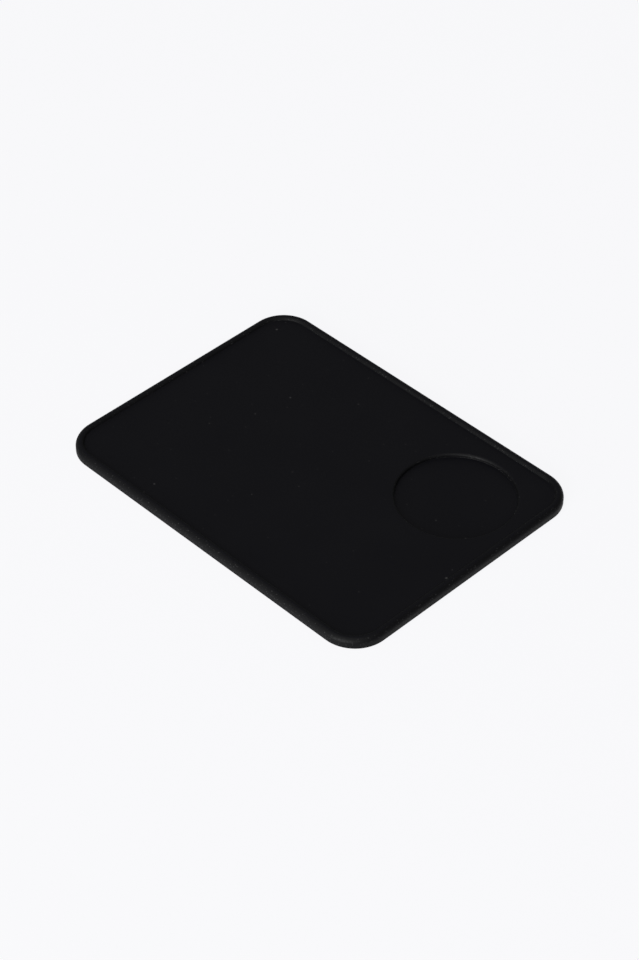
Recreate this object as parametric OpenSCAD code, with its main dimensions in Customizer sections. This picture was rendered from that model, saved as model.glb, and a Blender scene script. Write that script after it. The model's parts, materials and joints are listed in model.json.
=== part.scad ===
// Tamper mat: a low tray moulded in one piece from soft rubber, with a beaded
// rim all round and a shallow round seat for a tamper near one corner.
// X runs along the length, Y along the width, and Z is up. The origin is at
// the middle of the underside.

/* [Mat] */
// Length of the mat, along X
mat_length = 200; // [140:1:320]
// Width of the mat, along Y
mat_width = 150; // [120:1:240]
// Radius of the four corners, seen from above
corner_r = 18.2; // [12:0.1:30]
// Thickness of the tray floor
floor_t = 3.8; // [3:0.1:8]
// Rounding of the bottom edge
base_edge_r = 0.3; // [0.1:0.1:1]

/* [Rim] */
// Height of the rim above the tray floor
rim_rise = 1.4; // [0.8:0.1:2.4]
// Rounding of the rim on its outer side
rim_outer_r = 2.6; // [1:0.1:3.4]
// Flat along the top of the rim, between its two roundings
rim_crown_w = 0.1; // [0.1:0.1:3]
// Rounding of the rim on its inner side
rim_inner_r = 1.6; // [0.8:0.1:3]
// Hollow fillet from the rim into the tray floor
rim_foot_r = 0.3; // [0.2:0.1:1.6]

/* [Tamper seat] */
// Diameter of the tamper's base that stands in the seat
tamper_d = 58; // [49:0.5:59]
// Play between the tamper and the wall of the seat, on the diameter
tamper_play = 0.2; // [0.1:0.1:2]
// Depth of the seat below the tray floor
seat_depth = 1.9; // [1.5:0.1:2.8]
// Rounding of the lip of the seat
seat_lip_r = 1.2; // [0.2:0.1:1.6]
// Hollow fillet at the foot of the seat's wall
seat_foot_r = 0.2; // [0.1:0.1:0.6]
// Distance from the centre of the seat to the edge of the mat at +X
seat_from_right = 40.2; // [38:0.1:60]
// Distance from the centre of the seat to the edge of the mat at +Y
seat_from_back = 42.2; // [38:0.1:60]

/* [Hidden] */
$fn = 96;

rim_h = floor_t + rim_rise;
// The crown line is where the rounding of the inner side starts.
crown_u = rim_outer_r + rim_crown_w;
crown_z = rim_h - rim_inner_r;
// The foot's fillet touches both the inner rounding and the tray floor. Where
// the rim is higher than these two roundings, an upright wall joins them.
foot_z = floor_t + rim_foot_r;
side_z = min(crown_z, foot_z);
foot_u = crown_u + sqrt(pow(rim_inner_r + rim_foot_r, 2) - pow(foot_z - side_z, 2));
// The section of the edge laps onto the floor plate by this width.
floor_lap = 2;
edge_w = foot_u + floor_lap;
// The floor plate starts halfway along the lap.
plate_in = foot_u + floor_lap / 2;
seat_r = (tamper_d + tamper_play) / 2;
seat_x = mat_length / 2 - seat_from_right;
seat_y = mat_width / 2 - seat_from_back;
seat_z = floor_t - seat_depth;
// Height of the cutter over the tray floor
cut_over = 1;

// The square corner left outside a rounding of radius r, with its tip at the
// origin and the rounding on its +X and +Y side.
module corner_waste(r) {
    difference() {
        square(r);
        translate([r, r]) circle(r);
    }
}

// Section of the rim with its inner rounding, before its foot is filled.
module rim_section() {
    difference() {
        square([crown_u + rim_inner_r, rim_h]);
        translate([crown_u + rim_inner_r, rim_h]) rotate(180) corner_waste(rim_inner_r);
    }
}

// Section of the edge, from the outer side inwards to the end of the lap. X is
// the distance from the outer side and Y the height.
module edge_section() {
    difference() {
        union() {
            rim_section();
            square([edge_w, floor_t]);
            polygon([[crown_u, floor_t], [crown_u, side_z], [foot_u, foot_z], [foot_u, floor_t]]);
        }
        translate([foot_u, foot_z]) circle(rim_foot_r);
        translate([0, rim_h]) mirror([0, 1]) corner_waste(rim_outer_r);
        corner_waste(base_edge_r);
    }
}

// A straight run of the edge along X, with its outer side towards -Y.
module edge_run(run_length) {
    translate([-run_length / 2, 0, 0])
        rotate([90, 0, 90]) linear_extrude(run_length) edge_section();
}

// A quarter turn of the edge round the centre of a corner.
module edge_corner() {
    rotate_extrude(angle = 90)
        translate([corner_r, 0]) mirror([1, 0]) edge_section();
}

// The edge all round: four straight runs and four quarter turns.
module edge_ring() {
    straight_x = mat_length - 2 * corner_r;
    straight_y = mat_width - 2 * corner_r;
    for (turn = [0, 180]) {
        rotate(turn) {
            translate([0, -mat_width / 2, 0]) edge_run(straight_x);
            rotate(90) translate([0, -mat_length / 2, 0]) edge_run(straight_y);
            translate([straight_x / 2, straight_y / 2, 0]) edge_corner();
            translate([-straight_x / 2, straight_y / 2, 0]) rotate(90) edge_corner();
        }
    }
}

// The floor plate inside the edge, with corners round the same centres.
module floor_plate() {
    plate_x = mat_length - 2 * plate_in;
    plate_y = mat_width - 2 * plate_in;
    plate_r = corner_r - plate_in;
    linear_extrude(floor_t) {
        square([plate_x, plate_y - 2 * plate_r], center = true);
        square([plate_x - 2 * plate_r, plate_y], center = true);
        for (side_x = [-1, 1], side_y = [-1, 1])
            translate([side_x * (plate_x / 2 - plate_r), side_y * (plate_y / 2 - plate_r)])
                circle(plate_r);
    }
}

// Half section of the space of the tamper seat, from its axis outwards, with
// the tray floor at Y = seat_depth.
module seat_section() {
    difference() {
        union() {
            square([seat_r, seat_depth + cut_over]);
            translate([seat_r, seat_depth - seat_lip_r]) square([seat_lip_r, seat_lip_r + cut_over]);
        }
        translate([seat_r + seat_lip_r, seat_depth - seat_lip_r]) circle(seat_lip_r);
        translate([seat_r, 0]) mirror([1, 0]) corner_waste(seat_foot_r);
    }
}

// The mat, one moulding.
module mat() {
    color([0.09, 0.09, 0.1])
        difference() {
            union() {
                edge_ring();
                floor_plate();
            }
            translate([seat_x, seat_y, seat_z]) rotate_extrude() seat_section();
        }
}

mat();
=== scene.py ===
# %% [markdown]
# # A tamper mat in black silicone
# The object is one low tray of soft rubber: a flat floor, a rounded bead all
# round, and a shallow round seat near one corner. The CAD model holds its exact
# size. This script makes the part as it looks: the same shape with finer
# curves, and a surface with grain, handling marks, a little dust, and pale
# specks on the bead that are partly dust and partly painted sparkle of its sheen.

# %% Load the frame
import json
import math
import bmesh
import bpy
from mathutils import Matrix, Vector


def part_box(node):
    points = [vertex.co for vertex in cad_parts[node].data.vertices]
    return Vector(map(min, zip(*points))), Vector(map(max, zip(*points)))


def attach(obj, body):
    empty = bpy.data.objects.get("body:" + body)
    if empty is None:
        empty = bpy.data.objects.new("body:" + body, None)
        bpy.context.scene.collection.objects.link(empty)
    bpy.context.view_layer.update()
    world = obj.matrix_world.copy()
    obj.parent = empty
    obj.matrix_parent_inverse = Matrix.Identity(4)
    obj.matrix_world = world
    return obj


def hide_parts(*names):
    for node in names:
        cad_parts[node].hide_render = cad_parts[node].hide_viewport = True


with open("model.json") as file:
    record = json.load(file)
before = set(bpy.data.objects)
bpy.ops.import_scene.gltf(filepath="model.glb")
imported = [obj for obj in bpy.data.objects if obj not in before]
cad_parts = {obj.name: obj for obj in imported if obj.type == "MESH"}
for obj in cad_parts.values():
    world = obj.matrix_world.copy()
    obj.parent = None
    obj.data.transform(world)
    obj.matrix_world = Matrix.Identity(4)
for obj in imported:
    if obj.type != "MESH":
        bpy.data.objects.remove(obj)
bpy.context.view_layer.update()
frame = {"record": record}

# %% [markdown]
# ## Measures first
# A mat like this is cast in one mould, so every curve on it comes from a few
# numbers. They could all be typed in again here. The outline and the heights
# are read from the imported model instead, so that the look can't drift away
# from the part, and only the roundings are written in millimetres.

# %% Read the sizes of the mat
MM = 0.001
low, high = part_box("mat")
LENGTH, WIDTH, HEIGHT = high - low
CORNER_R = 18.2 * MM
print(f"mat {LENGTH / MM:.1f} x {WIDTH / MM:.1f} x {HEIGHT / MM:.2f} mm")

# %% Read the heights and the seat from the mounts
mounts = {mount["name"]: mount for mount in frame["record"]["mounts"]}
FLOOR_Z = mounts["tray_floor"]["pos_m"][2]
SEAT_Z = mounts["seat_floor"]["pos_m"][2]
SEAT_X, SEAT_Y = mounts["tamper_seat"]["pos_m"][:2]
SEAT_WALL_R = mounts["tamper_seat"]["dims"]["r_mm"] * MM
print(f"tray floor at {FLOOR_Z / MM:.2f} mm, seat floor at {SEAT_Z / MM:.2f} mm")

# %% [markdown]
# ## The camera
# The photograph looks down on one corner from rather far away, so the four
# edges stay almost parallel. The camera could be placed by eye. Here the
# distance, the lens and the aim were found by matching the four corners of the
# mat, and they come early, because each later step is judged through them.

# %% Set up the camera
CAMERA_AZIMUTH = math.radians(45.412)
CAMERA_ELEVATION = math.radians(42.116)
CAMERA_DISTANCE = 1.21076
CAMERA_AIM = Vector((4.239 * MM, -2.471 * MM, 0))
SENSOR_W = 36.0
FOCAL_PX = 2548.556
FRAME_H_PX = 960

camera_data = bpy.data.cameras.new("camera")
camera_data.sensor_width = SENSOR_W
camera_data.lens = FOCAL_PX * SENSOR_W / FRAME_H_PX
camera = bpy.data.objects.new("camera", camera_data)
bpy.context.scene.collection.objects.link(camera)
bpy.context.scene.camera = camera

to_camera = Vector((
    math.sin(CAMERA_AZIMUTH) * math.cos(CAMERA_ELEVATION),
    -math.cos(CAMERA_AZIMUTH) * math.cos(CAMERA_ELEVATION),
    math.sin(CAMERA_ELEVATION),
))
camera.location = CAMERA_AIM + CAMERA_DISTANCE * to_camera
camera.rotation_euler = to_camera.to_track_quat("Z", "Y").to_euler()
bpy.context.scene.view_settings.view_transform = "Standard"
print(f"lens {camera_data.lens:.1f} mm at {CAMERA_DISTANCE:.2f} m")

# %% [markdown]
# ## Drawing a section by walking along it
# The bead has the same section all the way round: a small rounding at the
# bottom, a big one outside, a smaller one inside, and a hollow one where it
# runs into the floor. Such a chain of edges could be typed in as points, but
# it is easier to walk along it, as a pen does: go straight for a while, then
# turn along an arc. Each stretch starts where the last one ended, so the
# curves always meet smoothly.

# %% A pen that draws a chain of edges
ACROSS = Vector((0, -1, 0))


def only(kind, items):
    return [item for item in items if isinstance(item, kind)]


class Pen:
    """Draws edges in the XZ plane: X is the distance in, Z is the height."""

    def __init__(self, mesh, x, z, heading):
        self.mesh = mesh
        self.tip = mesh.verts.new((x, 0, z))
        self.heading = math.radians(heading)

    def direction(self):
        return Vector((math.cos(self.heading), 0, math.sin(self.heading)))

    def straight(self, length):
        made = bmesh.ops.extrude_vert_indiv(self.mesh, verts=[self.tip])
        self.tip = made["verts"][0]
        self.tip.co += self.direction() * length

    def arc(self, radius, turn, steps):
        quarter = math.copysign(math.pi / 2, turn)
        inward = Matrix.Rotation(quarter, 3, ACROSS) @ self.direction()
        made = bmesh.ops.spin(
            self.mesh, geom=[self.tip], cent=self.tip.co + inward * radius,
            axis=ACROSS, angle=math.radians(turn), steps=steps)
        self.tip = only(bmesh.types.BMVert, made["geom_last"])[0]
        self.heading += math.radians(turn)


# %% Name the bead's roundings
BASE_EDGE_R, BASE_STEPS = 0.3 * MM, 6
RIM_OUTER_R, OUTER_STEPS = 2.6 * MM, 24
RIM_CROWN_W = 0.1 * MM
RIM_INNER_R, INNER_STEPS = 1.6 * MM, 16
RIM_FOOT_R, FOOT_STEPS = 0.3 * MM, 10
SLOPE = math.degrees(math.acos(
    1 - (HEIGHT - FLOOR_Z) / (RIM_INNER_R + RIM_FOOT_R)))
print(f"the inner side of the bead is {SLOPE:.1f} degrees steep at most")

# %% Draw its section, from the underside over the bead to the tray floor
LAP = 1.0 * MM

mat_mesh = bmesh.new()
pen = Pen(mat_mesh, LAP, 0, 180)
pen.straight(LAP - BASE_EDGE_R)
pen.arc(BASE_EDGE_R, -90, BASE_STEPS)
pen.straight(HEIGHT - BASE_EDGE_R - RIM_OUTER_R)
pen.arc(RIM_OUTER_R, -90, OUTER_STEPS)
pen.straight(RIM_CROWN_W)
pen.arc(RIM_INNER_R, -SLOPE, INNER_STEPS)
pen.arc(RIM_FOOT_R, SLOPE, FOOT_STEPS)
pen.straight(LAP)
print("section of the bead:", len(mat_mesh.edges), "edges")

# %% [markdown]
# ## The bead goes round the mat
# The section is now carried round the outline: straight along a side, a
# quarter turn at the corner, and so on four times. Spin does both, because
# with no angle it only shifts. The alternative, a curve with a bevel
# profile, gives less say over the faces at the corners.

# %% Carry the section round the outline
RUN_STEPS = 12
TURN_STEPS = 28
CORNERS = ((1, -1), (1, 1), (-1, 1), (-1, -1))


def carry_round(mesh, section):
    """Sweeps the section along four sides and four corners."""
    mid_x, mid_y = LENGTH / 2 - CORNER_R, WIDTH / 2 - CORNER_R
    for side, (right, back) in enumerate(CORNERS):
        along = Matrix.Rotation(side * math.pi / 2, 3, "Z") @ Vector((1, 0, 0))
        run = (LENGTH if side % 2 == 0 else WIDTH) - 2 * CORNER_R
        shifted = bmesh.ops.spin(
            mesh, geom=section, axis=(0, 0, 1), angle=0,
            dvec=along * run / RUN_STEPS, steps=RUN_STEPS)
        turned = bmesh.ops.spin(
            mesh, geom=shifted["geom_last"], cent=(mid_x * right, mid_y * back, 0),
            axis=(0, 0, 1), angle=math.pi / 2, steps=TURN_STEPS)
        section = turned["geom_last"]


# %% Start at the front side and close the seam
SEAM = 0.002 * MM

place = Matrix.Translation((CORNER_R - LENGTH / 2, -WIDTH / 2, 0))
bmesh.ops.transform(
    mat_mesh, verts=mat_mesh.verts, matrix=place @ Matrix.Rotation(math.pi / 2, 4, "Z"))
carry_round(mat_mesh, mat_mesh.verts[:] + mat_mesh.edges[:])
bmesh.ops.remove_doubles(mat_mesh, verts=mat_mesh.verts, dist=SEAM)
print("bead:", len(mat_mesh.faces), "faces")

# %% [markdown]
# ## The seat for the tamper
# The seat is a round step in the floor, with a soft lip and a small hollow at
# its foot. A cylinder could be cut out of the floor and its edges bevelled,
# but the cut leaves untidy faces round the lip. So it is turned like a pot:
# half of its section is drawn from the floor inwards and spun once round.
# Merging the last step with the first closes the seam.

# %% Draw half of the seat's section
SEAT_LIP_R, LIP_STEPS = 1.2 * MM, 12
SEAT_FOOT_R = 0.2 * MM

seat_mesh = bmesh.new()
pen = Pen(seat_mesh, SEAT_WALL_R + SEAT_LIP_R + LAP, FLOOR_Z, 180)
pen.straight(LAP)
pen.arc(SEAT_LIP_R, 90, LIP_STEPS)
pen.straight(FLOOR_Z - SEAT_Z - SEAT_LIP_R - SEAT_FOOT_R)
pen.arc(SEAT_FOOT_R, -90, FOOT_STEPS)
pen.straight(LAP)
print("section of the seat:", len(seat_mesh.edges), "edges")

# %% Turn the seat and add it to the mat
SEAT_STEPS = 144

bmesh.ops.spin(
    seat_mesh, geom=seat_mesh.verts[:] + seat_mesh.edges[:], cent=(0, 0, 0),
    axis=(0, 0, 1), angle=2 * math.pi, steps=SEAT_STEPS, use_merge=True)
bmesh.ops.translate(seat_mesh, verts=seat_mesh.verts, vec=(SEAT_X, SEAT_Y, 0))
seat_part = bpy.data.meshes.new("seat_part")
seat_mesh.to_mesh(seat_part)
seat_mesh.free()
mat_mesh.from_mesh(seat_part)
bpy.data.meshes.remove(seat_part)
print("with the seat:", len(mat_mesh.faces), "faces")

# %% [markdown]
# ## Closing the flat faces
# Three flat faces are still open: the underside, the bottom of the seat and
# the tray floor round it. The first two have one edge loop each, and the
# tray floor has two, an outer and an inner one. A triangle fill spans any
# flat area between loops, so it does all three, where bridging two such
# unlike loops would fold. They are flat, so long thin triangles do no harm.

# %% Fill the flats
SAME_LEVEL = 0.01 * MM
FLATS = {"underside": 0, "seat bottom": SEAT_Z, "tray floor": FLOOR_Z}


def open_edges_at(mesh, height):
    return [edge for edge in mesh.edges if edge.is_boundary
            and all(abs(vert.co.z - height) < SAME_LEVEL for vert in edge.verts)]


for name, height in FLATS.items():
    made = bmesh.ops.triangle_fill(
        mat_mesh, use_beauty=True, use_dissolve=False, edges=open_edges_at(mat_mesh, height))
    print(name, "closed with", len(only(bmesh.types.BMFace, made["geom"])), "faces")


# %% Make the mat's object
def make_object(name, mesh):
    """Turns a bmesh into an object of the scene."""
    data = bpy.data.meshes.new(name)
    mesh.to_mesh(data)
    mesh.free()
    made = bpy.data.objects.new(name, data)
    bpy.context.scene.collection.objects.link(made)
    return made


bmesh.ops.recalc_face_normals(mat_mesh, faces=mat_mesh.faces)
for face in mat_mesh.faces:
    face.smooth = True
still_open = [edge for edge in mat_mesh.edges if not edge.is_manifold]
print("open edges:", len(still_open), "volume", round(mat_mesh.calc_volume() / MM ** 3), "mm3")

tamper_mat = make_object("tamper_mat", mat_mesh)
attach(tamper_mat, "root")
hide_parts("mat")

# %% [markdown]
# ## Small effects as node groups
# Soft rubber is never one even colour. It has a fine grain from the mould,
# broad soft patches where hands have touched it, and it draws dust. Each of
# these could be wired up in the material itself. As a node group, a little
# box of nodes with named inputs, it is built once and placed as often as it
# is needed, each time with its own numbers.


# %% Helpers for wiring nodes
def add_node(tree, kind, **settings):
    node = tree.nodes.new(kind)
    for key, value in settings.items():
        setattr(node, key, value)
    return node


def plug(tree, value, socket):
    """Feeds a socket from another socket, a colour or a number."""
    if isinstance(value, bpy.types.NodeSocket):
        tree.links.new(value, socket)
    elif isinstance(value, tuple):
        socket.default_value = (*value, 1)
    else:
        socket.default_value = value


def maths(tree, operation, *values):
    """One step of arithmetic on sockets and numbers."""
    node = add_node(tree, "ShaderNodeMath", operation=operation)
    for value, socket in zip(values, node.inputs):
        plug(tree, value, socket)
    return node.outputs[0]


def ramp_between(tree, value, low_edge, high_edge):
    """Goes smoothly from 0 at one edge to 1 at the other."""
    node = add_node(tree, "ShaderNodeMapRange", interpolation_type="SMOOTHSTEP")
    plug(tree, value, node.inputs["Value"])
    plug(tree, low_edge, node.inputs["From Min"])
    plug(tree, high_edge, node.inputs["From Max"])
    return node.outputs["Result"]


# %% Helpers for building groups
def new_group(name, inputs, output):
    """A node group with number inputs {name: value} and one output."""
    group = bpy.data.node_groups.new(name, "ShaderNodeTree")
    for socket_name, value in inputs.items():
        socket = group.interface.new_socket(
            name=socket_name, in_out="INPUT", socket_type="NodeSocketFloat")
        socket.default_value = value
    group.interface.new_socket(name=output, in_out="OUTPUT", socket_type="NodeSocketFloat")
    given = group.nodes.new("NodeGroupInput").outputs
    result = group.nodes.new("NodeGroupOutput").inputs[output]
    return group, given, result


def pattern(tree, kind, size, **settings):
    """A texture node on Object coordinates; its size is in metres."""
    node = add_node(tree, kind, **settings)
    place = add_node(tree, "ShaderNodeTexCoord")
    plug(tree, place.outputs["Object"], node.inputs["Vector"])
    plug(tree, maths(tree, "DIVIDE", 1.0, size), node.inputs["Scale"])
    return node


# %% Broad soft patches
patches, given, mask = new_group("soft_patches", {"Size": 0.03, "Contrast": 0.5}, "Mask")
noise = pattern(patches, "ShaderNodeTexNoise", given["Size"])
noise.inputs["Detail"].default_value = 4.0
centred = maths(patches, "SUBTRACT", noise.outputs["Fac"], 0.5)
plug(patches, maths(patches, "MULTIPLY_ADD", centred, given["Contrast"], 0.5), mask)
print("group:", patches.name)

# %% Fine moulded grain
grain, given, height = new_group("moulded_grain", {"Size": 0.0004, "Depth": 1.0}, "Height")
noise = pattern(grain, "ShaderNodeTexNoise", given["Size"])
noise.inputs["Detail"].default_value = 3.0
noise.inputs["Roughness"].default_value = 0.6
plug(grain, maths(grain, "MULTIPLY", noise.outputs["Fac"], given["Depth"]), height)
print("group:", grain.name)

# %% Specks of dust, also used for painted sparkle: a speck of its own size in some cells of a grid
specks, given, mask = new_group(
    "dust_and_sparkle_specks", {"Spacing": 0.02, "Radius": 0.0003, "Share": 0.3, "Lift": 1.0}, "Mask")
cells = pattern(specks, "ShaderNodeTexVoronoi", given["Spacing"], feature="F1")
distance = maths(specks, "MULTIPLY", cells.outputs["Distance"], given["Spacing"])
luck = add_node(specks, "ShaderNodeSeparateColor")
plug(specks, cells.outputs["Color"], luck.inputs[0])
own_radius = maths(specks, "MULTIPLY", luck.outputs[1], given["Radius"])
near = maths(specks, "SUBTRACT", 1.0, ramp_between(specks, distance, 0.0, own_radius))
chosen = maths(specks, "LESS_THAN", luck.outputs[0], given["Share"])
shown = maths(specks, "MULTIPLY", near, chosen)
plug(specks, maths(specks, "MULTIPLY", shown, given["Lift"]), mask)
print("group:", specks.name)

# %% [markdown]
# ## The silicone
# Black silicone is very dark and a little blue, with a broad dull sheen and
# no sharp reflections. A dark grey base colour would give the same darkness
# from the front, but its darkness comes from carbon in the rubber. So the base
# colour is nearly black, and the light that we see is mostly the sheen, which
# grows on the bead where it faces the lamps.

# %% Start the silicone material
silicone = bpy.data.materials.new("black_silicone")
silicone.use_nodes = True
tree = silicone.node_tree
rubber = tree.nodes["Principled BSDF"]
rubber.inputs["IOR"].default_value = 1.41
rubber.inputs["Specular IOR Level"].default_value = 0.14


def place_group(tree, group, **values):
    """Places a group with its own numbers and gives its output."""
    node = add_node(tree, "ShaderNodeGroup", node_tree=group)
    for name, value in values.items():
        node.inputs[name].default_value = value
    return node.outputs[0]


def mix_colour(tree, mask, first, second):
    """Blends two colours by a mask; each is a tuple or a socket."""
    node = add_node(tree, "ShaderNodeMix", data_type="RGBA")
    plug(tree, mask, node.inputs["Factor"])
    plug(tree, first, node.inputs[6])
    plug(tree, second, node.inputs[7])
    return node.outputs[2]


# %% Find the curved places: the bead and the lip of the seat
NEARLY_FLAT, CURVED = 0.985, 0.90  # how far up the surface faces, from 0 to 1

position = add_node(tree, "ShaderNodeTexCoord")
facing = add_node(tree, "ShaderNodeSeparateXYZ")
plug(tree, position.outputs["Normal"], facing.inputs[0])
curved = ramp_between(tree, facing.outputs["Z"], NEARLY_FLAT, CURVED)
print(f"curved from {math.degrees(math.acos(NEARLY_FLAT)):.0f} degrees of tilt")

# %% Colour: near black, with soft patches where it is flat
FLAT_DARK = (0.0008, 0.0008, 0.0018)
FLAT_PALE = (0.0016, 0.0016, 0.0026)
BEAD_DARK = (0.0010, 0.0010, 0.0014)

touched = place_group(tree, patches, Size=35 * MM, Contrast=1.6)
flat_colour = mix_colour(tree, touched, FLAT_DARK, FLAT_PALE)
body_colour = mix_colour(tree, curved, flat_colour, BEAD_DARK)
print("rubber:", FLAT_DARK, "to", FLAT_PALE)

# %% Dust: fine, coarse, and the smallest on the curved places, where the specks also paint sparkle into the sheen
FINE_DUST = (0.30, 0.30, 0.29)
LINT = (0.42, 0.41, 0.40)
BEAD_DUST_AND_PAINTED_SPARKLE = (0.40, 0.40, 0.40)

fine = place_group(tree, specks, Spacing=3.5 * MM, Radius=0.6 * MM, Share=0.35, Lift=0.05)
lint = place_group(tree, specks, Spacing=10 * MM, Radius=1.0 * MM, Share=0.6, Lift=0.09)
# The specks on the curved places are partly dust and partly painted sparkle: pale spots that
# stand in for the mottled sheen of the bead.
finest_dust_and_sparkle = place_group(tree, specks, Spacing=0.9 * MM, Radius=0.45 * MM, Share=0.7, Lift=0.05)
dusted = mix_colour(tree, fine, body_colour, FINE_DUST)
dusted = mix_colour(tree, lint, dusted, LINT)
dusted = mix_colour(tree, maths(tree, "MULTIPLY", finest_dust_and_sparkle, curved), dusted, BEAD_DUST_AND_PAINTED_SPARKLE)
plug(tree, dusted, rubber.inputs["Base Color"])
print("dust on", rubber.name)

# %% Sheen: broad and mottled, duller where touched, smoother along the crown
ROUGHNESS = 0.29
TOUCHED_DULLER = 0.08
END_SMOOTHER = 0.05
CROWN_SMOOTHER = 0.03
CROWN_BAND = 0.5 * MM

split = add_node(tree, "ShaderNodeSeparateXYZ")
plug(tree, position.outputs["Object"], split.inputs[0])
crown = ramp_between(tree, split.outputs["Z"], HEIGHT - CROWN_BAND, HEIGHT)
dull = maths(tree, "MULTIPLY_ADD", touched, TOUCHED_DULLER, ROUGHNESS)
dull = maths(tree, "MULTIPLY_ADD", split.outputs["X"], -END_SMOOTHER / (LENGTH / 2), dull)
dull = maths(tree, "MULTIPLY_ADD", crown, -CROWN_SMOOTHER, dull)
mottle = place_group(tree, grain, Size=0.7 * MM, Depth=0.50)
plug(tree, maths(tree, "ADD", dull, mottle), rubber.inputs["Roughness"])
print("roughness from", ROUGHNESS, "upwards, mottled")

# %% Relief: the grain of the mould
relief = add_node(tree, "ShaderNodeBump")
relief.inputs["Strength"].default_value = 0.15
relief.inputs["Distance"].default_value = 0.03 * MM
plug(tree, place_group(tree, grain, Size=0.5 * MM, Depth=1.0), relief.inputs["Height"])
plug(tree, relief.outputs["Normal"], rubber.inputs["Normal"])
tamper_mat.data.materials.append(silicone)
print("material:", silicone.name)

# %% [markdown]
# ## The floor
# The photograph has a nearly white ground without a horizon. A white sheet
# under strong lamps would do that, but it would light the mat too much. So
# the sheet shows that white to the camera and to reflections by itself, and
# it keeps a share of honest lit surface, so the mat still throws a soft
# shadow on it. Beyond the sheet the camera sees the same white. The sheet
# lies a hair below the mat, because two faces at one height would flicker,
# and from behind it is clear, so that the underside can be looked at.

# %% Lay the floor
BACKGROUND = (0.9387, 0.9387, 0.9559)
HALF_SHEET = 20
FLOOR_GAP = 0.05 * MM

floor_mesh = bmesh.new()
bmesh.ops.create_grid(floor_mesh, x_segments=1, y_segments=1, size=HALF_SHEET)
bmesh.ops.translate(floor_mesh, verts=floor_mesh.verts, vec=(0, 0, -FLOOR_GAP))
floor = make_object("floor", floor_mesh)
print("floor:", floor.name)


# %% Helpers for showing the plain background
def plain_share(tree, shares):
    """How much of the plain background each kind of ray sees."""
    path = add_node(tree, "ShaderNodeLightPath")
    total = 0.0
    for name, part in shares.items():
        total = maths(tree, "MULTIPLY_ADD", path.outputs[name], part, total)
    return total


def mix_shaders(tree, mask, first, second):
    node = add_node(tree, "ShaderNodeMixShader")
    plug(tree, mask, node.inputs["Fac"])
    plug(tree, first.outputs[0], node.inputs[1])
    plug(tree, second.outputs[0], node.inputs[2])
    return node


# %% Paint the floor
PAPER_SHARES = {"Is Camera Ray": 0.95, "Is Transmission Ray": 0.95, "Is Glossy Ray": 0.75}

paper = bpy.data.materials.new("pale_paper")
paper.use_nodes = True
tree = paper.node_tree
tree.nodes.clear()
lit = add_node(tree, "ShaderNodeBsdfDiffuse")
plug(tree, BACKGROUND, lit.inputs["Color"])
plain = add_node(tree, "ShaderNodeEmission")
plug(tree, BACKGROUND, plain.inputs["Color"])
front = mix_shaders(tree, plain_share(tree, PAPER_SHARES), lit, plain)
clear = add_node(tree, "ShaderNodeBsdfTransparent")
behind = add_node(tree, "ShaderNodeNewGeometry").outputs["Backfacing"]
sheet = mix_shaders(tree, behind, front, clear)
surface = add_node(tree, "ShaderNodeOutputMaterial").inputs["Surface"]
plug(tree, sheet.outputs[0], surface)
floor.data.materials.append(paper)
print("material:", paper.name)

# %% [markdown]
# ## Light
# Two softboxes stand in front of the long side, one of them low. They draw
# the soft bright line along the front of the bead and the crescent on the far
# wall of the seat. A large one overhead gives the plain level of light. The
# rest of the room is an even, rather dim surround, which is why the flat
# floor of the mat stays nearly black. A picture of a studio could light the
# mat as well, but lamps are easier to move, and they need no file.

# %% Surround
ROOM_SHARES = {"Is Camera Ray": 1.0, "Is Transmission Ray": 1.0, "Is Glossy Ray": 0.08}
ROOM_LEVEL = 0.30

world = bpy.data.worlds.new("room")
world.use_nodes = True
bpy.context.scene.world = world
tree = world.node_tree
room = tree.nodes["Background"]
room.inputs["Color"].default_value = (1, 1, 1, 1)
room.inputs["Strength"].default_value = ROOM_LEVEL
backdrop = add_node(tree, "ShaderNodeBackground")
plug(tree, BACKGROUND, backdrop.inputs["Color"])
seen = mix_shaders(tree, plain_share(tree, ROOM_SHARES), room, backdrop)
plug(tree, seen.outputs[0], tree.nodes["World Output"].inputs["Surface"])
print("surround:", ROOM_LEVEL)

# %% Softboxes
LAMP_DISTANCE = 3.0


def softbox(name, azimuth, elevation, wide, high, glow):
    """A panel at that place in the sky, as many degrees wide and high as given.

    glow is how bright the panel itself looks, where 1 is white paper.
    """
    data = bpy.data.lights.new(name, "AREA")
    data.shape = "RECTANGLE"
    data.size = 2 * LAMP_DISTANCE * math.tan(math.radians(wide) / 2)
    data.size_y = 2 * LAMP_DISTANCE * math.tan(math.radians(high) / 2)
    data.energy = glow * math.pi * data.size * data.size_y
    lamp = bpy.data.objects.new(name, data)
    bpy.context.scene.collection.objects.link(lamp)
    azimuth, elevation = math.radians(azimuth), math.radians(elevation)
    toward = Vector((
        math.cos(elevation) * math.cos(azimuth),
        math.cos(elevation) * math.sin(azimuth),
        math.sin(elevation)))
    lamp.location = toward * LAMP_DISTANCE
    lamp.rotation_euler = toward.to_track_quat("Z", "Y").to_euler()
    print(name, f"{data.energy:.1f} W")


softbox("low_softbox", azimuth=276, elevation=6, wide=16, high=9, glow=62)
softbox("front_softbox", azimuth=291, elevation=20, wide=22, high=14, glow=22)
softbox("top_softbox", azimuth=280, elevation=62, wide=60, high=60, glow=1.75)
